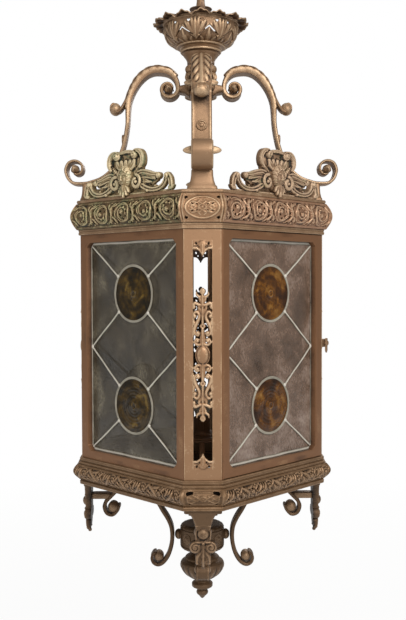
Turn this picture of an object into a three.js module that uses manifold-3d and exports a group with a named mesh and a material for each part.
// Stained glass lantern: a hanging, eight-sided lantern of cast and sheet brass with four leaded sides.
// Millimetres, +Z up. The origin is where the hanging ring bears on its hook.
// Plan: a square with cut corners. The corners face -Y (front), +X (right), +Y (back) and -X (left).
// Each repeated piece is drawn at the front, with its outside facing -Y, and then turned about Z.
import * as THREE from 'three';
import { mergeVertices } from 'three/addons/utils/BufferGeometryUtils.js';
import Module from 'manifold-3d';

const wasm = await Module();
wasm.setup();

// Fits
const fit = 0.3;              // gap between two pieces that touch
const doorGap = 1.6;          // gap along the door's hinge edge
const doorEndGap = 1;         // gap above and below the door
const pinClearance = 0.4;     // radial clearance of the door's pivot pins

// Hanging ring and stem
const ringRadius = 22;        // to the middle of the wire
const ringWire = 8;
const eyeRadius = 10;
const eyeWire = 7;
const coneLength = 28;
const coneTopRadius = 6;
const coneFootRadius = 8.5;
const flangeRadius = 20;
const flangeThickness = 2;
const nutRadius = 13;
const nutHeight = 6;
const nutDrop = 7;            // flange to nut
const sleeveRadius = 8;
const rodRadius = 4;
const flangeAboveRim = 29;

// Crown: collar, bowl and neck
const bowlRadius = 66;
const bowlDepth = 39;
const bowlWall = 3.5;
const rimSection = 3.4;
const bowlFootRadius = 40;
const upperRingRadius = 44;
const lowerRingRadius = 36.8;
const ringSection = 3;
const ringPitch = 8.6;
const bowlLeaves = 8;
const collarReach = 20;       // how far the collar stands out past the bowl
const collarWall = 2;
const collarWaves = 10;
const collarWaveHeight = 6;
const eyeletWidth = 10;       // triangular piercings high on the bowl
const eyeletHeight = 8;
const notchWidth = 8;         // notches between its leaves
const notchHeight = 11;
const neckTopRadius = 32.5;
const neckWaistRadius = 24.5;
const neckHeight = 17;
const hubHalfWidth = 21;
const hubHeight = 58;
const hubTipHeight = 12;

// Arms
const armWidth = 34;
const armHeight = 240;        // ledge to the top of the arch
const archBelowNeck = 24;
const archThickness = 13;
const strapThickness = 8;
const scrollThickness = 6;
const innerVoluteReach = 37;  // hub face to the middle of the inner volute
const innerVoluteDrop = 40;   // top of the arch to the middle of the inner volute
const innerVoluteRadius = 17.3;
const strapRadius = 131;      // axis of the lantern to the strap
const outerVoluteOut = 18;    // foot to the middle of the outer volute
const outerVoluteRise = 25;
const outerVoluteRadius = 14.5;
const eyeKnobRadius = 7.5;
const eyeKnobOut = 13;        // how far a knob stands out past the arm's side
const tipCurlRadius = 8.5;
const tipKnobOut = 2;
const spurHeight = 26;        // between hub and volute
const footInset = 6.5;        // corner face to the middle of the foot
const footWidth = 48;
const footDepth = 18;
const footNeck = 11;
const footHeight = 31;
const strapBossRadius = 9;
const strapBossHeight = 2;

// Cage
const cageAcross = 344;       // between two opposite glazed sides
const chamferWidth = 59;      // width of a corner pilaster
const cageHeight = 393;
const frameDepth = 17;
const stileWidth = 17;
const topRailHeight = 14;
const bottomRailHeight = 15;
const glassRecess = 8;
const rabbetWidth = 4;
const openingCorner = 11;     // size of the opening's cut corners
const pilasterThickness = 5;
const slotWidth = 30;
const slotTopMargin = 18;
const slotBottomMargin = 17;
const cuspHeight = 20;
const stripTopDrop = 86;      // top of the slot to the shoulder of the pierced strip
const stripHeight = 185;
const stripThickness = 3;
const stripRows = 4;
const stripHoleHalfWidth = 5;
const stripHoleHalfHeight = 13;
const stripShoulder = 8;      // how much lower the strip's sides end than its middle
const stripPoint = 12;        // how far its pointed ends reach into the slot
const bossHalfWidth = 9;
const bossHalfHeight = 14;
const bossOut = 5;

// Leaded panels
const cameWidth = 6;
const cameHeart = 1;
const cameFace = 1.6;
const glassThickness = 3;
const roundelRadius = 46;
const roundelInset = 88;      // end of the opening to the middle of the nearer roundel
const roundelBossRadius = 9;
const roundelBossHeight = 3;
const roundSides = 12;         // flats round a roundel, its came and its hole

// Cornice
const ledgeThickness = 6;
const ledgeOut = 5;
const ledgeWidth = 45;
const friezeHeight = 45;
const friezeOut = 15;
const friezeWall = 3;
const filletHeight = 9;
const filletOut = 3.3;
const linerWall = 3;
const rosettes = 5;            // per side, one piercing above and one below between each two
const claspOut = 1.5;         // how far a corner clasp stands out past the frieze, and its oval past it
const ovalHalfWidth = 17;
const ovalHalfHeight = 14;

// Crestings
const crestHalfWidth = 113;
const crestHeight = 74;
const crownHalfWidth = 45;
const wingHeight = 31;
const crestThickness = 7;
const maskHalfWidth = 16;
const maskHalfHeight = 19;
const maskOut = 17;
const hornRadius = 11;
const hornOut = 8.5;          // how far horns and crown knobs stand out
const crownKnobRadius = 7.7;
const crestSetback = 2;       // ledge's edge to the cresting's front
const crestDrop = 5;          // how far the palmette hangs over the ledge
const palmetteWidth = 18;
const palmetteOut = 8;
const palmetteRise = 14;

// Base
const stepHeights = [7, 5];
const stepOuts = [3.6, 5.5];
const ovoloHeight = 29;
const ovoloOut = 14.5;
const lipHeight = 7;
const lipOut = 3.6;
const baseWall = 4;
const floorThickness = 4;
const floorHoleRadius = 98;
const baseHoles = 5;
const baseHoleSize = 12;

// Corner pendants
const pendantLength = 95;
const pendantInset = 5;       // corner face to the back of the pendant's strap
const pendantDepth = 9;
const abacusWidth = 60;
const abacusDepth = 16;
const abacusHeight = 6;
const capitalWidth = 44;
const capitalHeight = 12;
const shaftWidth = 25;
const pendantVoluteRadius = 9;
const pendantVoluteSpread = 11.5;
const prongWidth = 7;
const prongInset = 1;
const prongRise = 12;         // how much higher the side prongs end than the middle one
const capitalOut = 2;
const pendantBossOut = 4;
const tieHeight = 12;

// Lower scrolls, drum and finial
const lowerWidth = 24;
const lowerThickness = 8;
const lowerTopRadius = 125;
const lowerCurlReach = 52;    // top of the arch to the outermost of the outer curl
const lowerCurlDrop = 59;
const lowerHookReach = 37;    // bulge against the drum to the outermost of the hook
const lowerHookDrop = 54;
const lowerKnobRadius = 7.2;
const lowerKnobOut = 4;
const drumDrop = 80;          // base to the top of the drum
const drumRadius = 40;
const drumHeight = 46;
const drumEdge = 7;
const drumBossRadius = 5.5;
const drumBossLength = 10;
const finialRadius = 40.5;
const finialBowlHeight = 58;
const finialRingRadius = 19;
const finialBeadRadius = 10.8;
const finialTipHeight = 35;
const finialSocket = 12;      // depth of the hole for the lamp's stem

// Lamp
const platformRadius = 51;
const platformThickness = 7;
const platformAboveFloor = 79;
const lampStemRadius = 5;
const holderRadius = 14;
const holderFlare = 8;
const holderHeight = 32;
const bulbRadius = 17;
const bulbHeight = 62;

// Door: its pivots, and the latch that turns on the right pilaster and covers its free edge
const latchDrop = 192;        // top of the cage to the latch
const latchOut = 9;           // edge of the glazed side to the latch's pin
const latchLap = 8;           // how far the turned latch reaches over that edge
const latchTail = 9;          // pin to the end that the finger turns
const latchWidth = 8;
const latchThickness = 3;
const latchClearance = 1;
const latchPinRadius = 3;
const latchBossHeight = 14;
const pivotPinRadius = 2;
const pivotInset = 2.5;       // door's hinge corner to the pivot's axis, both ways
const pivotPinLength = 3;     // out of the door's end
const pivotPinRoot = 2;

// Turns about Z that bring a piece from the front to its own corner or side
const quarterTurn = Math.PI / 2;
const cornerAngles = { front: 0, right: quarterTurn, back: 2 * quarterTurn, left: 3 * quarterTurn };
const sideAngles = {
  front_right: 0.5 * quarterTurn,
  back_right: 1.5 * quarterTurn,
  back_left: 2.5 * quarterTurn,
  front_left: 3.5 * quarterTurn,
};

// Plan of the cage
const mitre = Math.tan(Math.PI / 8);
const sideApothem = cageAcross / 2;
const cornerApothem = sideApothem * Math.SQRT2 - chamferWidth / 2;
const sideWidth = (cornerApothem - chamferWidth / 2) * Math.SQRT2;
const sideHalf = sideWidth / 2;
const cornerHalf = chamferWidth / 2;

// Heights, from the ring down
const zRing = -(ringRadius - ringWire / 2);
const zRingLow = zRing - ringRadius;
const zEye = zRingLow + ringWire / 2 + fit - (eyeRadius - eyeWire / 2);
const zConeTop = zEye - eyeRadius;
const zFlange = zConeTop - coneLength;
const zNut = zFlange - flangeThickness - nutDrop;
const zRim = zFlange - flangeAboveRim;
const zBowlFloor = zRim - bowlDepth + 2 * bowlWall;
const zUpperRing = zRim - bowlDepth - 1;
const zLowerRing = zUpperRing - ringPitch;
const zBowlBottom = zLowerRing - ringSection;
const zNeckTop = zBowlBottom - fit;
const zHub = zNeckTop - neckHeight;
const zHubBottom = zHub - hubHeight;
const zArch = zNeckTop - archBelowNeck;
const zLedge = zArch - armHeight;
const zFriezeTop = zLedge - ledgeThickness - fit;
const zFriezeBottom = zFriezeTop - friezeHeight;
const zFilletBottom = zFriezeBottom - fit - filletHeight;
const zCageTop = zFilletBottom - fit;
const zCageBottom = zCageTop - cageHeight;
const zBase = zCageBottom - fit;
const zOvoloTop = zBase - stepHeights[0] - stepHeights[1];
const zOvoloBottom = zOvoloTop - ovoloHeight;
const zBaseBottom = zOvoloBottom - lipHeight;
const zFloor = zBaseBottom + floorThickness;
const zPlatform = zFloor + platformAboveFloor;
const zDrum = zBaseBottom - drumDrop;
const zDrumBottom = zDrum - drumHeight;
const zFinial = zDrumBottom - fit;
const zFinialNeck = zFinial - finialBowlHeight;
const zTip = zFinialNeck - finialTipHeight;

// The opening in a side frame, and where its roundels sit
const openingHalf = sideHalf - stileWidth;
const zOpeningTop = zCageTop - topRailHeight;
const zOpeningBottom = zCageBottom + bottomRailHeight;
const zRoundels = [zOpeningTop - roundelInset, zOpeningBottom + roundelInset];
const paneOuter = rabbetWidth - fit;         // how far the leaded panel reaches behind the frame
const yPanel = -sideApothem + glassRecess + fit;
const yGlass = yPanel + cameFace + fit;
const yPanelBack = yGlass + glassThickness + fit;

// The door turns about a pin just inside the hinge corner of its outside face
const xPivot = -sideHalf + doorGap + pivotInset;
const yPivot = -sideApothem + pivotInset;
const xLatch = sideHalf + latchOut;
const zLatch = zCageTop - latchDrop;

const bronze = { color: 0x8a6a4c, roughness: 0.55, metalness: 0.7 };
const darkBronze = { color: 0x6b4c34, roughness: 0.6, metalness: 0.6 };
const verdigris = { color: 0x8c8458, roughness: 0.8, metalness: 0.3 };
const lead = { color: 0xbcb8a8, roughness: 0.6, metalness: 0.5 };
const clear = { color: 0xa8aaa0, roughness: 0.15, metalness: 0, transparent: true, opacity: 0.45 };
const amber = { color: 0x7a5214, roughness: 0.12, metalness: 0, transparent: true, opacity: 0.75 };
const opal = { color: 0xece6d6, roughness: 0.4, metalness: 0 };

// A geometry with position only, its shared vertices merged and its empty triangles dropped
function bare(geometry) {
  const plain = geometry.clone();
  for (const name of Object.keys(plain.attributes)) {
    if (name !== 'position') plain.deleteAttribute(name);
  }
  const merged = mergeVertices(plain.index ? plain.toNonIndexed() : plain, 1e-4);
  const kept = [];
  const index = merged.index.array;
  for (let i = 0; i < index.length; i += 3) {
    const [a, b, c] = [index[i], index[i + 1], index[i + 2]];
    if (a !== b && b !== c && c !== a) kept.push(a, b, c);
  }
  merged.setIndex(kept);
  return merged;
}

// Six times the volume inside a closed geometry: negative where its faces point in
function signedVolume(geometry) {
  const at = geometry.attributes.position;
  const index = geometry.index.array;
  const [a, b, c] = [new THREE.Vector3(), new THREE.Vector3(), new THREE.Vector3()];
  let sum = 0;
  for (let i = 0; i < index.length; i += 3) {
    a.fromBufferAttribute(at, index[i]);
    b.fromBufferAttribute(at, index[i + 1]);
    c.fromBufferAttribute(at, index[i + 2]);
    sum += a.dot(b.cross(c));
  }
  return sum;
}

// The same closed geometry with its faces pointing out
function facingOut(geometry) {
  const plain = bare(geometry);
  if (signedVolume(plain) < 0) plain.setIndex(Array.from(plain.index.array).reverse());
  return plain;
}

function solid(geometry) {
  const plain = facingOut(geometry);
  return new wasm.Manifold(new wasm.Mesh({
    numProp: 3,
    vertProperties: new Float32Array(plain.attributes.position.array),
    triVerts: new Uint32Array(plain.index.array),
  }));
}

function geometryOf(body) {
  const mesh = body.getMesh();
  const geometry = new THREE.BufferGeometry();
  geometry.setAttribute('position', new THREE.BufferAttribute(new Float32Array(mesh.vertProperties), 3));
  geometry.setIndex(new THREE.BufferAttribute(new Uint32Array(mesh.triVerts), 1));
  return geometry;
}

function joined(...geometries) {
  return geometryOf(geometries.map(solid).reduce((whole, piece) => whole.add(piece)));
}

function cut(geometry, ...tools) {
  return geometryOf(tools.map(solid).reduce((rest, tool) => rest.subtract(tool), solid(geometry)));
}

function turnedBy(geometry, angle) {
  return geometry.clone().rotateZ(angle);
}

// A box between two corners
function block(x0, x1, y0, y1, z0, z1) {
  const box = new THREE.BoxGeometry(x1 - x0, y1 - y0, z1 - z0);
  return box.translate((x0 + x1) / 2, (y0 + y1) / 2, (z0 + z1) / 2);
}

// A block whose top and bottom rectangles differ, each given as [x half width, y front, y back]
function taperedBlock(bottom, top, z0, z1) {
  const box = block(-1, 1, -1, 1, z0, z1);
  const at = box.attributes.position;
  for (let i = 0; i < at.count; i += 1) {
    const [half, front, back] = at.getZ(i) > (z0 + z1) / 2 ? top : bottom;
    at.setX(i, at.getX(i) * half);
    at.setY(i, at.getY(i) < 0 ? front : back);
  }
  return box;
}

// A solid of revolution about Z from [radius, z] points
function turned(points, segments) {
  const profile = points.map(([r, z]) => new THREE.Vector2(r, z));
  return facingOut(new THREE.LatheGeometry(profile, segments).rotateX(Math.PI / 2));
}

// A turned ring whose profile closes on itself
function turnedRing(points, segments) {
  return turned([...points, points[0]], segments);
}

// A cylinder along Y between two depths
function bossAlongY(radius, x, z, y0, y1, segments) {
  return new THREE.CylinderGeometry(radius, radius, y1 - y0, segments).translate(x, (y0 + y1) / 2, z);
}

// A cylinder along Z between two heights
function post(radius, x, y, z0, z1, segments) {
  return new THREE.CylinderGeometry(radius, radius, z1 - z0, segments).rotateX(Math.PI / 2)
    .translate(x, y, (z0 + z1) / 2);
}

function shapeOf(points) {
  return new THREE.Shape(points.map(([x, y]) => new THREE.Vector2(x, y)));
}

// A hole's outline
function pathOf(points) {
  return new THREE.Path(points.map(([x, y]) => new THREE.Vector2(x, y)));
}

function extruded(shape, depth) {
  return new THREE.ExtrudeGeometry(shape, { depth, bevelEnabled: false, curveSegments: 5 });
}

// An upright plate from an outline in (x, z), between two depths
function plate(shape, y0, y1) {
  return extruded(shape, y1 - y0).rotateX(Math.PI / 2).translate(0, y1, 0);
}

// A rib in the plane of a corner, from an outline in (distance from the axis, z), centred on x = 0
function rib(shape, width) {
  const basis = new THREE.Matrix4().makeBasis(
    new THREE.Vector3(0, -1, 0), new THREE.Vector3(0, 0, 1), new THREE.Vector3(-1, 0, 0));
  return extruded(shape, width).applyMatrix4(basis).translate(width / 2, 0, 0);
}

function regularPolygon(x, z, rx, rz, sides, start = 0) {
  const points = [];
  for (let i = 0; i < sides; i += 1) {
    const angle = start + (2 * Math.PI * i) / sides;
    points.push([x + rx * Math.cos(angle), z + rz * Math.sin(angle)]);
  }
  return points;
}

// The outline of a strip that follows [x, y, thickness] points
function stripShape(line) {
  const left = [];
  const right = [];
  line.forEach(([x, y, thickness], i) => {
    const before = line[Math.max(i - 1, 0)];
    const after = line[Math.min(i + 1, line.length - 1)];
    const along = new THREE.Vector2(after[0] - before[0], after[1] - before[1]).normalize();
    left.push([x - (along.y * thickness) / 2, y + (along.x * thickness) / 2]);
    right.unshift([x + (along.y * thickness) / 2, y - (along.x * thickness) / 2]);
  });
  return shapeOf([...left, ...right]);
}

// Points along a spiral, from one angle and radius to another, with a thickness at each end
function spiral(centre, angles, radii, thicknesses, count) {
  const line = [];
  for (let i = 0; i < count; i += 1) {
    const t = i / (count - 1);
    const angle = THREE.MathUtils.lerp(angles[0], angles[1], t);
    const radius = THREE.MathUtils.lerp(radii[0], radii[1], t);
    const thickness = THREE.MathUtils.lerp(thicknesses[0], thicknesses[1], t);
    line.push([centre[0] + radius * Math.cos(angle), centre[1] + radius * Math.sin(angle), thickness]);
  }
  return line;
}

// A moulding straight along X, mitred at both ends to meet its neighbours round the octagon.
// Its profile is a closed list of [out from the face, z] points, anticlockwise.
function mitredBar(profile, apothem, halfWidth, gap) {
  const count = profile.length;
  const points = [];
  for (const end of [-1, 1]) {
    for (const [out, z] of profile) {
      points.push(end * (halfWidth + out * mitre - gap), -(apothem + out), z);
    }
  }
  const index = [];
  const contour = profile.map(([out, z]) => new THREE.Vector2(out, z));
  for (const [a, b, c] of THREE.ShapeUtils.triangulateShape(contour, [])) {
    index.push(a, b, c, count + a, count + c, count + b);
  }
  for (let i = 0; i < count; i += 1) {
    const j = (i + 1) % count;
    index.push(i, count + i, j, j, count + i, count + j);
  }
  const geometry = new THREE.BufferGeometry();
  geometry.setAttribute('position', new THREE.Float32BufferAttribute(points, 3));
  geometry.setIndex(index);
  return facingOut(geometry);
}

// The eight corners of the plan, moved out by a distance
function planCorners(out) {
  const half = cornerHalf + out * mitre;
  const reach = cornerApothem + out;
  return [[-half, -reach], [half, -reach], [reach, -half], [reach, half],
    [half, reach], [-half, reach], [-reach, half], [-reach, -half]];
}

// A closed moulding round the whole octagon
function octagonRing(profile) {
  const count = profile.length;
  const points = [];
  for (const [out, z] of profile) {
    for (const [x, y] of planCorners(out)) points.push(x, y, z);
  }
  const index = [];
  for (let i = 0; i < count; i += 1) {
    const j = (i + 1) % count;
    for (let k = 0; k < 8; k += 1) {
      const l = (k + 1) % 8;
      index.push(i * 8 + k, i * 8 + l, j * 8 + k, j * 8 + k, i * 8 + l, j * 8 + l);
    }
  }
  const geometry = new THREE.BufferGeometry();
  geometry.setAttribute('position', new THREE.Float32BufferAttribute(points, 3));
  geometry.setIndex(index);
  return facingOut(geometry);
}

// A round-nosed profile between two heights: an arc that stands out by bulge at its middle
function archProfile(z0, z1, edgeOut, bulge, steps) {
  const points = [];
  for (let i = 0; i <= steps; i += 1) {
    const t = i / steps;
    points.push([edgeOut + (bulge - edgeOut) * Math.sin(Math.PI * t), z0 + (z1 - z0) * t]);
  }
  return points;
}

function hangingRing() {
  const ring = new THREE.TorusGeometry(ringRadius, ringWire / 2, 6, 16);
  return ring.rotateX(Math.PI / 2).translate(0, 0, zRing);
}

// Eye, tapered ferrule, saucer flange, nut, sleeve and the rod that runs down into the hub
function suspensionStem() {
  const eye = new THREE.TorusGeometry(eyeRadius, eyeWire / 2, 6, 12);
  const sleeveBottom = zBowlFloor + fit;
  const stem = turned([
    [0, zConeTop],
    [coneTopRadius, zConeTop],
    [coneFootRadius, zFlange],
    [flangeRadius, zFlange - flangeThickness / 2],
    [flangeRadius, zFlange - flangeThickness],
    [sleeveRadius, zFlange - flangeThickness],
    [sleeveRadius, zNut],
    [nutRadius, zNut],
    [nutRadius, zNut - nutHeight],
    [sleeveRadius, zNut - nutHeight],
    [sleeveRadius, sleeveBottom],
    [rodRadius, sleeveBottom],
    [rodRadius, zHub],
    [0, zHub],
  ], 12);
  return joined(eye.rotateY(Math.PI / 2).translate(0, 0, zEye), stem);
}

// A thin flared ring over the bowl's rim, its outer edge in waves
function crownCollar() {
  const around = collarWaves * 4;
  const inner = bowlRadius - 3 * rimSection;
  const outer = bowlRadius + collarReach;
  const zSeat = zRim + rimSection + fit;
  const rows = [
    [inner, 0, 0],
    [bowlRadius + rimSection, 0, 0],
    [outer, 1, 1],
  ];
  const points = [];
  for (const layer of [1, 0]) {
    for (const [radius, lift, wave] of rows) {
      for (let k = 0; k < around; k += 1) {
        const angle = (2 * Math.PI * k) / around;
        const ripple = Math.cos(collarWaves * angle);
        const z = zSeat + (layer + lift) * collarWall + wave * collarWaveHeight * ripple;
        const reach = radius + (wave * collarWaveHeight * ripple) / 2;
        points.push(reach * Math.cos(angle), reach * Math.sin(angle), z);
      }
    }
  }
  // The rows run out along the top and back along the underside
  const loop = [0, 1, 2, 5, 4, 3];
  const index = [];
  loop.forEach((row, i) => {
    const next = loop[(i + 1) % loop.length];
    for (let k = 0; k < around; k += 1) {
      const l = (k + 1) % around;
      index.push(row * around + k, row * around + l, next * around + k);
      index.push(next * around + k, row * around + l, next * around + l);
    }
  });
  const geometry = new THREE.BufferGeometry();
  geometry.setAttribute('position', new THREE.Float32BufferAttribute(points, 3));
  geometry.setIndex(index);
  return facingOut(geometry);
}

// The bowl's side: full at the rim and drawn in to its foot
function bowlSide(wall, steps) {
  const points = [];
  for (let i = 0; i <= steps; i += 1) {
    const t = (i / steps) * (Math.PI / 2);
    const out = Math.cos(t) ** 0.7;
    const drop = Math.sin(t) ** 0.9;
    const radius = bowlFootRadius + (bowlRadius - bowlFootRadius) * out - wall;
    points.push([radius, zRim - (bowlDepth - wall) * drop]);
  }
  return points;
}

function crownBowl() {
  const outside = bowlSide(0, 5).slice(1);
  const inside = bowlSide(bowlWall, 4).slice(1, 3).reverse();
  const bore = rodRadius + fit;
  const rimOut = bowlRadius + rimSection / 2;
  const body = turnedRing([
    [bowlRadius - bowlWall, zRim + rimSection],
    [bowlRadius, zRim + rimSection],
    [rimOut, zRim],
    [bowlRadius, zRim - rimSection],
    ...outside,
    [upperRingRadius, zUpperRing],
    [lowerRingRadius, zUpperRing - ringSection],
    [lowerRingRadius, zLowerRing],
    [neckTopRadius, zBowlBottom],
    [bore, zBowlBottom],
    [bore, zBowlFloor],
    [bowlFootRadius - bowlWall, zBowlFloor],
    ...inside,
  ], 20);
  // Pierced eyes between the leaves: a small one high up and a wider notch lower down
  const tools = [];
  const zHigh = zRim - bowlDepth * 0.28;
  const zLow = zRim - bowlDepth * 0.5;
  const eyelet = shapeOf([
    [-eyeletWidth / 2, zHigh + eyeletHeight / 2],
    [0, zHigh - eyeletHeight / 2],
    [eyeletWidth / 2, zHigh + eyeletHeight / 2],
  ]);
  const notch = shapeOf([
    [0, zLow + notchHeight / 2],
    [-notchWidth / 2, zLow - notchHeight / 2],
    [notchWidth / 2, zLow - notchHeight / 2],
  ]);
  const [outer, inner] = [-bowlRadius - rimSection, -bowlRadius + 4 * bowlWall];
  for (let k = 0; k < bowlLeaves; k += 1) {
    const turn = (2 * Math.PI * (k + 0.5)) / bowlLeaves;
    tools.push(turnedBy(plate(eyelet, outer, inner), turn + Math.PI / bowlLeaves));
    tools.push(turnedBy(plate(notch, outer, inner), turn));
  }
  return cut(body, ...tools);
}

// The concave neck on its square hub, with a tip below
function neckHub() {
  const neck = turned([
    [0, zHub - hubTipHeight],
    [neckWaistRadius, zHub - hubTipHeight],
    [neckWaistRadius, zHub + neckHeight * 0.25],
    [(neckWaistRadius + neckTopRadius) / 2 - 1, zHub + neckHeight * 0.65],
    [neckTopRadius, zNeckTop],
    [0, zNeckTop],
  ], 16);
  const hub = block(-hubHalfWidth, hubHalfWidth, -hubHalfWidth, hubHalfWidth, zHubBottom, zHub);
  const tip = taperedBlock([3, -3, 3], [hubHalfWidth - 2, 2 - hubHalfWidth, hubHalfWidth - 2],
    zHubBottom - hubTipHeight, zHubBottom + 1);
  const bore = post(rodRadius + fit, 0, 0, zHub - fit, zNeckTop + 1, 12);
  return cut(joined(neck, hub, tip), bore);
}

// The middle line of an arm, from the inner volute's eye to the outer volute's eye
function armLine() {
  const inner = [hubHalfWidth + innerVoluteReach, zArch - innerVoluteDrop];
  const curl = spiral(inner, [Math.PI, -Math.PI], [7, innerVoluteRadius], [6, 9], 11);
  // The arch: fractions of its span out to the strap and of its rise over the volute
  const span = strapRadius - inner[0];
  const rise = innerVoluteDrop - archThickness / 2;
  const archShape = [
    [-0.22, 0.33, 9], [-0.145, 0.66, 10], [-0.014, 0.9, 12], [0.159, 1, archThickness],
    [0.352, 1, archThickness], [0.531, 0.85, archThickness], [0.697, 0.54, archThickness],
    [0.814, 0.18, 12], [0.903, -0.21, 11], [0.966, -0.63, 10.5], [0.99, -1.06, 10],
  ];
  const arch = archShape.map(([u, v, thickness]) => [inner[0] + u * span, inner[1] + v * rise, thickness]);
  // The sweep: fractions of its way out to the foot and of its drop from the strap
  const foot = [cornerApothem - footInset, zLedge + footHeight + 2];
  const top = [strapRadius, foot[1] + armHeight * 0.45];
  const sweepShape = [
    [0, 0], [0.026, 0.14], [0.056, 0.26], [0.097, 0.384], [0.169, 0.528],
    [0.273, 0.676], [0.429, 0.815], [0.62, 0.917], [0.83, 0.972], [1, 1],
  ];
  const sweep = sweepShape.map(([u, v]) => [
    top[0] + u * (foot[0] - top[0]),
    top[1] + v * (foot[1] - top[1]),
    THREE.MathUtils.lerp(strapThickness, scrollThickness, v),
  ]);
  const outer = outerVoluteCentre();
  const r = outerVoluteRadius;
  const volute = [
    [0.1, -1.7, 1], [0.82, -1.18, 1], [1.13, -0.45, 1], [1.13, 0.1, 1], [0.82, 0.72, 0.95], [0.25, 1, 0.9],
    [-0.35, 0.95, 0.9], [-0.82, 0.6, 0.85], [-0.95, 0.05, 0.8], [-0.75, -0.45, 0.75], [-0.25, -0.65, 0.7],
    [0.2, -0.45, 0.7],
  ].map(([u, v, share]) => [outer[0] + u * r, outer[1] + v * r, scrollThickness * share]);
  return [...curl, ...arch, ...sweep, ...volute];
}

function outerVoluteCentre() {
  return [cornerApothem - footInset + outerVoluteOut, zLedge + footHeight + 2 + outerVoluteRise];
}

// A pointed knob across an arm, at a distance from the axis
function eyeKnob(radius, z, knobRadius, halfWidth, out) {
  const profile = [[0, -halfWidth - out], [knobRadius, -halfWidth + 1], [knobRadius, halfWidth - 1],
    [0, halfWidth + out]];
  return turned(profile, 8).rotateY(Math.PI / 2).translate(0, -radius, z);
}

function arm() {
  const line = armLine();
  const band = rib(stripShape(line), armWidth);
  const inner = [hubHalfWidth + innerVoluteReach, zArch - innerVoluteDrop];
  const outer = outerVoluteCentre();
  // Spur between hub and volute
  const spurEnd = inner[0] - innerVoluteRadius;
  const spur = rib(shapeOf([
    [hubHalfWidth + fit, inner[1] - spurHeight / 2],
    [spurEnd, inner[1] - spurHeight / 4],
    [spurEnd, inner[1] + spurHeight / 4],
    [hubHalfWidth + fit, inner[1] + spurHeight / 2],
  ]), armWidth);
  // Curled leaf tip on the outside of the strap
  const tip = [strapRadius + tipCurlRadius * 2.5, zArch - innerVoluteDrop - archThickness * 2.5];
  const tipLine = [
    [-2.4, 1.9], [-1.6, 0.5], [-0.7, -0.65], [0.45, -0.7], [1, 0.1], [0.6, 0.85],
  ].map(([u, v]) => [tip[0] + u * tipCurlRadius, tip[1] + v * tipCurlRadius, scrollThickness * 0.85]);
  const curl = rib(stripShape(tipLine), armWidth);
  const knob = tipCurlRadius * 0.8;
  const curlKnob = eyeKnob(tip[0], tip[1] + tipCurlRadius * 0.1, knob, armWidth / 2, tipKnobOut);
  // Foot, wider at the ledge, and the ring boss on the strap
  const rFoot = cornerApothem - footInset;
  const foot = taperedBlock(
    [footWidth / 2, -rFoot - footDepth / 2, -rFoot + footDepth / 2],
    [armWidth / 2, -rFoot - footNeck / 2, -rFoot + footNeck / 2],
    zLedge + fit, zLedge + footHeight);
  const [bossAt, zBoss, thicknessAt] = line.find(([, z]) => z < zLedge + armHeight * 0.47);
  const bossFace = -bossAt - thicknessAt / 2 - strapBossHeight;
  const boss = bossAlongY(strapBossRadius, 0, zBoss, bossFace, -bossAt, 10);
  return joined(band, spur, curl, curlKnob, foot, boss,
    eyeKnob(inner[0], inner[1], eyeKnobRadius, armWidth / 2, eyeKnobOut),
    eyeKnob(outer[0], outer[1], eyeKnobRadius, armWidth / 2, eyeKnobOut));
}

// A cresting: a pierced plate along the ledge with a crown, two horns and a mask that leans out
function cresting() {
  const w = crestHalfWidth;
  const c = crownHalfWidth;
  const h = crestHeight;
  const g = wingHeight;
  const half = [
    [w, 0], [w, 0.25 * g], [0.94 * w, 0.45 * g], [0.87 * w, 0.5 * g], [0.84 * w, 0.75 * g], [0.76 * w, g],
    [0.65 * w, g], [0.57 * w, 0.72 * g], [0.5 * w, 0.66 * g], [c, g], [0.91 * c, 0.5 * h], [c, 0.66 * h],
    [c, 0.82 * h], [0.82 * c, 0.96 * h], [0.56 * c, h],
  ];
  const z = zLedge + fit;
  const outline = [...half, ...half.map(([x, up]) => [-x, up]).reverse()].map(([x, up]) => [x, z + up]);
  const shape = shapeOf(outline);
  for (const [x, up, radius] of [[0.71 * w, 0.5 * g, 0.24 * g], [0.73 * c, 0.76 * h, 0.08 * h]]) {
    for (const side of [-1, 1]) {
      shape.holes.push(pathOf(regularPolygon(side * x, z + up, radius, radius, 6)));
    }
  }
  const front = -(sideApothem + ledgeOut - crestSetback);
  const back = front + crestThickness;
  const zMask = z + 0.4 * h;
  const egg = new THREE.SphereGeometry(1, 8, 5).rotateX(Math.PI / 2)
    .scale(maskHalfWidth, maskOut, maskHalfHeight).translate(0, front, zMask);
  const behind = block(-maskHalfWidth, maskHalfWidth, back - 1, back + maskOut, z, z + h);
  const pieces = [plate(shape, front, back), cut(egg, behind)];
  for (const side of [-1, 1]) {
    const x = side * (maskHalfWidth + 0.9 * hornRadius);
    pieces.push(bossAlongY(hornRadius, x, z + 1.7 * hornRadius, front - hornOut, front + 1, 8));
    pieces.push(bossAlongY(crownKnobRadius, side * 0.52 * c, z + 0.88 * h, front - hornOut, front + 1, 8));
  }
  const edge = -(sideApothem + ledgeOut + fit);
  const palmetteHalf = palmetteWidth / 2;
  pieces.push(block(-palmetteHalf, palmetteHalf, edge - palmetteOut, edge, z - crestDrop, z + palmetteRise));
  return joined(...pieces);
}

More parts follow.
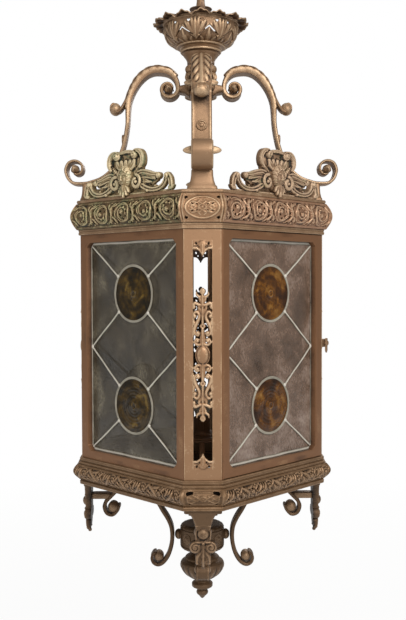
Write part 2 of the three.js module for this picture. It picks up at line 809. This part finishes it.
// Liner behind the frieze, with the ledge on top and the fillet band below
function corniceCore() {
  const body = octagonRing([
    [-frameDepth, zFilletBottom],
    [filletOut, zFilletBottom],
    [filletOut, zFilletBottom + filletHeight],
    [0, zFilletBottom + filletHeight],
    [0, zLedge - ledgeThickness],
    [ledgeOut, zLedge - ledgeThickness],
    [ledgeOut, zLedge],
    [-ledgeWidth, zLedge],
    [-ledgeWidth, zLedge - linerWall],
    [-linerWall, zLedge - linerWall],
    [-linerWall, zFilletBottom + linerWall],
    [-frameDepth, zFilletBottom + linerWall],
  ]);
  return cut(body, pivotSocket(zFilletBottom - 1, zFilletBottom + linerWall - doorEndGap + 1));
}

// The hole that a pivot pin of the door turns in, at its place in the assembled lantern
function pivotSocket(z0, z1) {
  return turnedBy(post(pivotPinRadius + pinClearance, xPivot, yPivot, z0, z1, 12), sideAngles.front_right);
}

function friezeProfile(out) {
  const outside = archProfile(zFriezeBottom, zFriezeTop, friezeWall + 1.5, out, 5);
  const inside = archProfile(zFriezeBottom, zFriezeTop, fit, out - friezeWall, 4).reverse();
  return [...outside, ...inside];
}

function corniceSide() {
  const bar = mitredBar(friezeProfile(friezeOut), sideApothem, sideHalf, fit / 2);
  const tools = [];
  const pitch = sideWidth / rosettes;
  const mid = (zFriezeTop + zFriezeBottom) / 2;
  const rise = friezeHeight * 0.27;
  for (let i = 0; i < rosettes - 1; i += 1) {
    const x = (i - (rosettes - 2) / 2) * pitch;
    for (const side of [-1, 1]) {
      const [zPoint, zWide] = [mid + side * rise * 0.25, mid + side * rise];
      const hole = shapeOf([[x, zPoint], [x + pitch * 0.135, zWide], [x - pitch * 0.135, zWide]]);
      tools.push(plate(hole, -sideApothem - friezeOut - 1, -sideApothem - fit));
    }
  }
  return cut(bar, ...tools);
}

function corniceCorner() {
  const bar = mitredBar(friezeProfile(friezeOut + claspOut), cornerApothem, cornerHalf, fit / 2);
  const y = -(cornerApothem + friezeOut + claspOut);
  const mid = (zFriezeTop + zFriezeBottom) / 2;
  const ring = shapeOf(regularPolygon(0, mid, ovalHalfWidth, ovalHalfHeight, 8));
  ring.holes.push(pathOf(regularPolygon(0, mid, ovalHalfWidth / 2, ovalHalfHeight / 2, 6)));
  return joined(bar, plate(ring, y - claspOut, y + friezeWall));
}

// One corner pilaster: slot with lobed cusps, and the pierced strip with its boss
function pilaster(withLatchBoss) {
  const body = mitredBar([
    [-pilasterThickness, zCageBottom], [0, zCageBottom], [0, zCageTop], [-pilasterThickness, zCageTop],
  ], cornerApothem, cornerHalf, fit / 2);
  const zTop = zCageTop - slotTopMargin;
  const zBottom = zCageBottom + slotBottomMargin;
  const half = slotWidth / 2;
  const y = -cornerApothem;
  const slot = block(-half, half, y - 1, y + pilasterThickness + 1, zBottom, zTop);
  const pieces = [cut(body, slot)];
  // Cusps: a pointed lobe between two round ones
  const cusp = [
    [-half - 1, 0], [-half - 1, 0.3], [-0.62 * half, 0.62], [-0.36 * half, 0.4], [0, 1],
    [0.36 * half, 0.4], [0.62 * half, 0.62], [half + 1, 0.3], [half + 1, 0],
  ];
  for (const [z, way] of [[zTop + 1, -1], [zBottom - 1, 1]]) {
    const outline = cusp.map(([x, v]) => [x, z + way * v * cuspHeight]);
    pieces.push(plate(shapeOf(outline), y, y + stripThickness));
  }
  // Strip: pairs of holes either side of a spine, and an oval boss at its middle
  const zStripTop = zTop - stripTopDrop;
  const zStripBottom = zStripTop - stripHeight;
  const s = stripShoulder;
  const strip = shapeOf([
    [-half - 1, zStripBottom + s], [-0.67 * half, zStripBottom + s / 2], [0, zStripBottom - stripPoint],
    [0.67 * half, zStripBottom + s / 2], [half + 1, zStripBottom + s], [half + 1, zStripTop - s],
    [0.67 * half, zStripTop - s / 2], [0, zStripTop + stripPoint], [-0.67 * half, zStripTop - s / 2],
    [-half - 1, zStripTop - s],
  ]);
  const pitch = (stripHeight - 2 * s) / (stripRows + 1);
  for (let row = 0; row < stripRows; row += 1) {
    const level = row < stripRows / 2 ? row + 0.5 : row + 1.5;
    const z = zStripBottom + s + pitch * level;
    for (const x of [-0.52 * half, 0.52 * half]) {
      const hole = regularPolygon(x, z, stripHoleHalfWidth, stripHoleHalfHeight, 4, Math.PI / 2);
      strip.holes.push(pathOf(hole));
    }
  }
  pieces.push(plate(strip, y, y + stripThickness));
  const zBoss = (zStripTop + zStripBottom) / 2;
  const boss = shapeOf(regularPolygon(0, zBoss, bossHalfWidth, bossHalfHeight, 10));
  pieces.push(plate(boss, y - bossOut, y + 1));
  if (withLatchBoss) pieces.push(latchBoss());
  return joined(...pieces);
}

// The latch's boss: a wedge on the right pilaster that ends flush with the door's face.
// It is drawn beside the door and turned to the pilaster's own place.
function latchBoss() {
  const y = -sideApothem;
  const [x0, x1] = [sideHalf + 1, sideHalf + 2 * latchOut];
  const plan = shapeOf([[x0, y], [x1, y], [x1, y + 2 * latchOut + 1], [x0, y + 2]]);
  const wedge = extruded(plan, latchBossHeight).translate(0, 0, zLatch - latchBossHeight / 2);
  const pin = bossAlongY(latchPinRadius, xLatch, zLatch, y - latchClearance, y + 1, 10);
  return turnedBy(joined(wedge, pin), sideAngles.front_right - cornerAngles.right);
}

function cutCornerRectangle(halfWidth, z0, z1, corner) {
  return shapeOf([
    [halfWidth, z0 + corner], [halfWidth, z1 - corner], [halfWidth - corner * 0.35, z1 - corner * 0.35],
    [halfWidth - corner, z1], [-halfWidth + corner, z1], [-halfWidth + corner * 0.35, z1 - corner * 0.35],
    [-halfWidth, z1 - corner], [-halfWidth, z0 + corner], [-halfWidth + corner * 0.35, z0 + corner * 0.35],
    [-halfWidth + corner, z0], [halfWidth - corner, z0], [halfWidth - corner * 0.35, z0 + corner * 0.35],
  ]);
}

// A side frame: mitred to the pilasters, with an opening in front and a rabbet behind
function frameBlank(gapEnds, gapHinge) {
  const z0 = zCageBottom + gapEnds;
  const z1 = zCageTop - gapEnds;
  const body = mitredBar([[-frameDepth, z0], [0, z0], [0, z1], [-frameDepth, z1]],
    sideApothem, sideHalf, fit / 2 + gapHinge);
  const y = -sideApothem;
  const opening = cutCornerRectangle(openingHalf, zOpeningBottom, zOpeningTop, openingCorner);
  const rabbetHalf = openingHalf + rabbetWidth;
  const rabbet = block(-rabbetHalf, rabbetHalf, y + glassRecess, y + frameDepth + 1,
    zOpeningBottom - rabbetWidth, zOpeningTop + rabbetWidth);
  return cut(body, plate(opening, y - 1, y + glassRecess + 1), rabbet);
}

function sideFrame() {
  return frameBlank(0, 0);
}

// The door is a side frame with a chamfered hinge corner and a pivot pin above and below
function doorFrame() {
  const blank = frameBlank(doorEndGap, doorGap - fit / 2);
  const y = -sideApothem;
  const x = -sideHalf + doorGap;
  const chamfer = shapeOf([[x - 2, y - 1], [x + pivotInset + 1, y - 1], [x - 2, y + pivotInset + 2]]);
  const tool = extruded(chamfer, cageHeight + 2).translate(0, 0, zCageBottom - 1);
  const pieces = [cut(blank, tool)];
  for (const zEnd of [zCageTop - doorEndGap, zCageBottom + doorEndGap]) {
    const out = Math.sign(zEnd - (zCageTop + zCageBottom) / 2);
    const ends = [zEnd - out * pivotPinRoot, zEnd + out * pivotPinLength];
    pieces.push(post(pivotPinRadius, xPivot, yPivot, Math.min(...ends), Math.max(...ends), 12));
  }
  return joined(...pieces);
}

// The turning latch, hanging down on its boss beside the door
function latchButton() {
  const y1 = -sideApothem - latchClearance - fit;
  const y0 = y1 - latchThickness;
  const half = latchWidth / 2;
  const tip = zLatch - latchOut - latchLap;
  const zTail = zLatch + latchTail;
  const bar = shapeOf([
    [xLatch - half, zTail], [xLatch - half, tip + half], [xLatch, tip], [xLatch + half, tip + half],
    [xLatch + half, zTail],
  ]);
  const head = bossAlongY(latchWidth * 0.6, xLatch, zLatch, y0 - 2, y0 + 1, 8);
  return joined(plate(bar, y0, y1), head);
}

// The came round one roundel: its face laps both glasses and its heart stands between them
function cameRing(z, inner, outer) {
  const heart = roundelRadius + fit;
  const [face, back] = [yPanel + cameFace, yGlass + glassThickness];
  return turnedRing([
    [inner, yPanel], [outer, yPanel], [outer, face], [heart + cameHeart, face], [heart + cameHeart, back],
    [heart, back], [heart, face], [inner, face],
  ], roundSides).rotateX(-Math.PI / 2).translate(0, 0, z);
}

function borderShape(outerHalf, outerZ0, outerZ1, width) {
  const rectangle = (h, z0, z1) => [[h, z0], [h, z1], [-h, z1], [-h, z0]];
  const border = shapeOf(rectangle(outerHalf, outerZ0, outerZ1));
  border.holes.push(pathOf(rectangle(outerHalf - width, outerZ0 + width, outerZ1 - width)));
  return border;
}

// A straight came between two points of the panel
function cameBar(x0, z0, x1, z1, y0, y1) {
  const length = Math.hypot(x1 - x0, z1 - z0);
  const bar = block(0, length, y0, y1, -cameWidth / 2, cameWidth / 2);
  return bar.rotateY(-Math.atan2(z1 - z0, x1 - x0)).translate(x0, 0, z0);
}

// The lead of one panel: border channel, two ring channels and the eight diagonal cames' faces
function leadCames() {
  const half = openingHalf + paneOuter;
  const z0 = zOpeningBottom - paneOuter;
  const z1 = zOpeningTop + paneOuter;
  const border = paneOuter + cameWidth;
  const ringOut = roundelRadius + cameWidth / 2 + cameHeart / 2;
  const ringIn = roundelRadius - cameWidth / 2;
  const pieces = [
    plate(borderShape(half, z0, z1, border), yPanel, yPanel + cameFace),
    plate(borderShape(half, z0, z1, cameHeart), yPanel, yPanelBack + cameFace),
    plate(borderShape(half, z0, z1, border), yPanelBack, yPanelBack + cameFace),
  ];
  const zMiddle = (zOpeningTop + zOpeningBottom) / 2;
  const corner = half - border + 1;
  for (const [i, z] of zRoundels.entries()) {
    pieces.push(cameRing(z, ringIn, ringOut));
    const zEnd = i === 0 ? z1 - border + 1 : z0 + border - 1;
    for (const side of [-1, 1]) {
      for (const target of [zEnd, zMiddle]) {
        const reach = Math.hypot(corner, target - z);
        const start = (ringOut - 1.5) / reach;
        pieces.push(cameBar(side * corner * start, z + (target - z) * start, side * corner, target,
          yPanel, yPanel + cameFace));
      }
    }
  }
  return joined(...pieces);
}

// The clear glass of one panel, as one sheet with a round hole for each roundel
function clearGlass() {
  const half = openingHalf + paneOuter - cameHeart - fit;
  const z0 = zOpeningBottom - paneOuter + cameHeart + fit;
  const z1 = zOpeningTop + paneOuter - cameHeart - fit;
  const sheet = shapeOf([[half, z0], [half, z1], [-half, z1], [-half, z0]]);
  const hole = roundelRadius + 3 * fit + cameHeart + 0.2;
  for (const z of zRoundels) sheet.holes.push(pathOf(regularPolygon(0, z, hole, hole, roundSides)));
  return plate(sheet, yGlass, yGlass + glassThickness);
}

// One bullseye roundel, its pontil boss facing out
function roundel(z) {
  const profile = [
    [0, -roundelBossHeight - glassThickness / 2],
    [roundelBossRadius, -glassThickness / 2 - 1],
    [roundelRadius - 0.4, -glassThickness / 2],
    [roundelRadius - 0.4, glassThickness / 2],
    [0, glassThickness / 2],
  ];
  return turned(profile, roundSides).rotateX(-Math.PI / 2).translate(0, yGlass + glassThickness / 2, z);
}

// Base: two steps, ovolo, lip and a floor with a round opening
function baseRing() {
  const z1 = zBase - stepHeights[0];
  const ovolo = [];
  for (let i = 0; i <= 4; i += 1) {
    const swell = Math.sin(0.35 + (0.95 * Math.PI * i) / 4);
    ovolo.push([lipOut - 1 + (ovoloOut - lipOut) * swell, zOvoloTop - (ovoloHeight * i) / 4]);
  }
  const body = octagonRing([
    [-frameDepth, zBase - baseWall], [-frameDepth, zBase], [stepOuts[0], zBase], [stepOuts[0], z1],
    [stepOuts[1], z1], ...ovolo, [lipOut, zOvoloBottom], [lipOut, zBaseBottom], [-frameDepth, zBaseBottom],
    [-frameDepth, zFloor], [lipOut - baseWall, zFloor],
    [ovoloOut - 2 * baseWall, (zOvoloTop + zOvoloBottom) / 2], [stepOuts[0] - baseWall, zBase - baseWall],
  ].reverse());
  const floorShape = shapeOf(planCorners(-frameDepth / 2));
  floorShape.holes.push(pathOf(regularPolygon(0, 0, floorHoleRadius, floorHoleRadius, 20)));
  const floor = extruded(floorShape, floorThickness).translate(0, 0, zBaseBottom);
  const tools = [pivotSocket(zBase - baseWall - 1, zBase + 1)];
  const mid = zOvoloTop - ovoloHeight * 0.45;
  const h = baseHoleSize / 2;
  const pitch = sideWidth / baseHoles;
  for (const angle of Object.values(sideAngles)) {
    for (let i = 0; i < baseHoles; i += 1) {
      const x = (i - (baseHoles - 1) / 2) * pitch;
      const hole = shapeOf([[x - h, mid - h], [x + h, mid - h], [x, mid + h]]);
      tools.push(turnedBy(plate(hole, -sideApothem - ovoloOut - 1, -sideApothem - lipOut), angle));
    }
  }
  return cut(joined(body, floor), ...tools);
}

// A corner pendant under the base, tied by a bar to the lower scroll behind it
function pendant() {
  const rBack = cornerApothem - pendantInset - pendantDepth;
  const y0 = -rBack - pendantDepth;
  const y1 = -rBack;
  const zTop = zBaseBottom - fit;
  const zCapital = zTop - abacusHeight;
  const zShaft = zCapital - capitalHeight;
  const zEnd = zTop - pendantLength;
  const zVolute = zTop - pendantLength * 0.62;
  const [middle, half] = [(y0 + y1) / 2, abacusDepth / 2];
  const prongRoot = [prongWidth / 2, y0 + prongInset, y1 - prongInset];
  const pieces = [
    block(-abacusWidth / 2, abacusWidth / 2, middle - half, middle + half, zCapital, zTop),
    taperedBlock([shaftWidth / 2, y0, y1], [capitalWidth / 2, y0 - capitalOut, y1], zShaft, zCapital + 1),
    block(-shaftWidth / 2, shaftWidth / 2, y0, y1, zVolute, zShaft + 1),
    bossAlongY(shaftWidth * 0.22, 0, zTop - pendantLength * 0.34, y0 - pendantBossOut, y0 + 1, 8),
    taperedBlock([prongWidth * 0.15, middle - 1, middle + 1], prongRoot, zEnd, zVolute),
  ];
  for (const side of [-1, 1]) {
    pieces.push(bossAlongY(pendantVoluteRadius, side * pendantVoluteSpread, zVolute, y0 - 1, y1, 8));
    const prongEnd = [prongWidth * 0.35, middle - 2, middle + 2];
    const prong = taperedBlock(prongEnd, prongRoot, zEnd + prongRise, zVolute);
    pieces.push(prong.translate(side * prongWidth * 1.25, 0, 0));
  }
  const tieTop = zTop - pendantLength * 0.23;
  const tieEnd = lowerTopRadius + lowerCurlReach + lowerThickness / 2 + fit;
  pieces.push(block(-lowerWidth / 2, lowerWidth / 2, -rBack - 1, -tieEnd, tieTop - tieHeight, tieTop));
  return joined(...pieces);
}

// The middle line of a lower scroll, from its outer eye over the arch to its lower eye
function lowerLine() {
  const rBulge = drumRadius + drumBossLength + fit + lowerThickness / 2;
  const zBulge = zDrum - drumHeight * 0.44;
  const zTop = zBaseBottom - fit - lowerThickness / 2;
  const thin = lowerThickness * 0.65;
  // The outer curl: fractions of its reach and drop from the arch's top
  const outer = [
    [0.635, 0.71], [0.57, 0.86], [0.72, 1], [0.91, 0.94], [1, 0.75], [0.94, 0.58], [0.76, 0.41],
    [0.58, 0.25], [0.365, 0.09],
  ].map(([u, v], i) => [
    lowerTopRadius + u * lowerCurlReach,
    zTop - v * lowerCurlDrop,
    THREE.MathUtils.lerp(thin, lowerThickness, i / 8),
  ]);
  // The run from the arch's top to the bulge against the drum's boss
  const run = [
    [1, 1], [0.76, 0.95], [0.53, 0.82], [0.37, 0.64], [0.24, 0.47], [0.115, 0.32], [0.03, 0.17], [0, 0],
  ].map(([u, v]) => [rBulge + u * (lowerTopRadius - rBulge), zBulge + v * (zTop - zBulge), lowerThickness]);
  // The hook under it: fractions of its reach and drop from the bulge
  const hook = [
    [0.04, 0.33], [0.19, 0.67], [0.43, 0.91], [0.69, 1], [0.92, 0.93], [1, 0.76], [0.89, 0.61],
  ].map(([u, v], i) => [
    rBulge + u * lowerHookReach,
    zBulge - v * lowerHookDrop,
    THREE.MathUtils.lerp(lowerThickness, thin, i / 6),
  ]);
  return [...outer, ...run, ...hook];
}

function lowerScroll() {
  const line = lowerLine();
  const first = line[0];
  const last = line[line.length - 1];
  const k = lowerKnobRadius;
  return joined(rib(stripShape(line), lowerWidth),
    eyeKnob(first[0] + 0.55 * k, first[1] - 0.3 * k, k, lowerWidth / 2, lowerKnobOut),
    eyeKnob(last[0] - 0.55 * k, last[1] - 0.8 * k, k, lowerWidth / 2, lowerKnobOut));
}

function drum() {
  const bore = lampStemRadius + fit;
  const round = drumRadius - 0.3 * drumEdge;
  const barrel = turnedRing([
    [bore, zDrumBottom], [drumRadius - drumEdge, zDrumBottom], [round, zDrumBottom + 0.4 * drumEdge],
    [drumRadius, zDrumBottom + drumEdge], [drumRadius, zDrum - drumEdge], [round, zDrum - 0.4 * drumEdge],
    [drumRadius - drumEdge, zDrum], [bore, zDrum],
  ], 16);
  const z = zDrum - drumHeight * 0.44;
  const bosses = Object.values(cornerAngles).map((angle) => turnedBy(
    bossAlongY(drumBossRadius, 0, z, -drumRadius - drumBossLength, -drumRadius + 3, 8), angle));
  return joined(barrel, ...bosses);
}

// Turned finial: bowl, ring, bead and tip, with a socket for the lamp stem
function finial() {
  const [b, r, t] = [finialBowlHeight, finialRadius, finialTipHeight];
  const z = zFinialNeck;
  const bore = lampStemRadius + fit;
  return turned([
    [0, zFinial - finialSocket], [bore, zFinial - finialSocket], [bore, zFinial], [r * 0.4, zFinial],
    [r * 0.4, zFinial - b * 0.15], [r * 0.74, zFinial - b * 0.27], [r, zFinial - b * 0.46],
    [r, zFinial - b * 0.58], [r * 0.69, zFinial - b * 0.84], [r * 0.32, z],
    [finialRingRadius, z - t * 0.17], [finialRingRadius, z - t * 0.37],
    [finialBeadRadius * 0.75, z - t * 0.51], [finialBeadRadius, z - t * 0.6],
    [finialBeadRadius, z - t * 0.71], [0, zTip],
  ], 16);
}

// Lamp platform with its holder above and the stem that runs down through drum and finial
function lampPlatform() {
  const stemEnd = zFinial - finialSocket + 1;
  return turned([
    [0, stemEnd], [lampStemRadius, stemEnd], [lampStemRadius, zPlatform - platformThickness],
    [platformRadius, zPlatform - platformThickness], [platformRadius, zPlatform],
    [holderRadius + holderFlare, zPlatform], [holderRadius, zPlatform + holderFlare / 2],
    [holderRadius, zPlatform + holderHeight], [0, zPlatform + holderHeight],
  ], 16);
}

function lampBulb() {
  const z = zPlatform + holderHeight + fit;
  const outline = [[0, 0], [0.7, 0], [1, 0.3], [0.9, 0.55], [0.45, 0.85], [0, 1]];
  return turned(outline.map(([u, v]) => [u * bulbRadius, z + v * bulbHeight]), 14);
}

const lantern = new THREE.Group();

function addPiece(name, geometry, finish, angle = 0) {
  const mesh = new THREE.Mesh(facingOut(geometry), new THREE.MeshStandardMaterial(finish));
  mesh.name = name;
  mesh.rotation.z = angle;
  lantern.add(mesh);
}

addPiece('hanging_ring', hangingRing(), bronze);
addPiece('suspension_stem', suspensionStem(), bronze);
addPiece('crown_collar', crownCollar(), darkBronze);
addPiece('crown_bowl', crownBowl(), bronze);
addPiece('neck_hub', neckHub(), bronze);
addPiece('cornice_core', corniceCore(), darkBronze);
addPiece('base_ring', baseRing(), bronze);
addPiece('drum', drum(), darkBronze);
addPiece('finial', finial(), bronze);
addPiece('lamp_platform', lampPlatform(), darkBronze);
addPiece('lamp_bulb', lampBulb(), opal);

for (const [place, angle] of Object.entries(cornerAngles)) {
  addPiece(`arm_${place}`, arm(), bronze, angle);
  addPiece(`cornice_corner_${place}`, corniceCorner(), bronze, angle);
  addPiece(`pilaster_${place}`, pilaster(place === 'right'), bronze, angle);
  addPiece(`pendant_${place}`, pendant(), bronze, angle);
  addPiece(`lower_scroll_${place}`, lowerScroll(), bronze, angle);
}

for (const [place, angle] of Object.entries(sideAngles)) {
  addPiece(`cresting_${place}`, cresting(), verdigris, angle);
  addPiece(`cornice_side_${place}`, corniceSide(), verdigris, angle);
  const isDoor = place === 'front_right';
  if (isDoor) addPiece('door_frame', doorFrame(), bronze, angle);
  else addPiece(`side_frame_${place}`, sideFrame(), bronze, angle);
  addPiece(`lead_cames_${place}`, leadCames(), lead, angle);
  addPiece(`clear_glass_${place}`, clearGlass(), clear, angle);
  addPiece(`roundel_upper_${place}`, roundel(zRoundels[0]), amber, angle);
  addPiece(`roundel_lower_${place}`, roundel(zRoundels[1]), amber, angle);
}
addPiece('latch_button', latchButton(), bronze, sideAngles.front_right);

export default lantern;
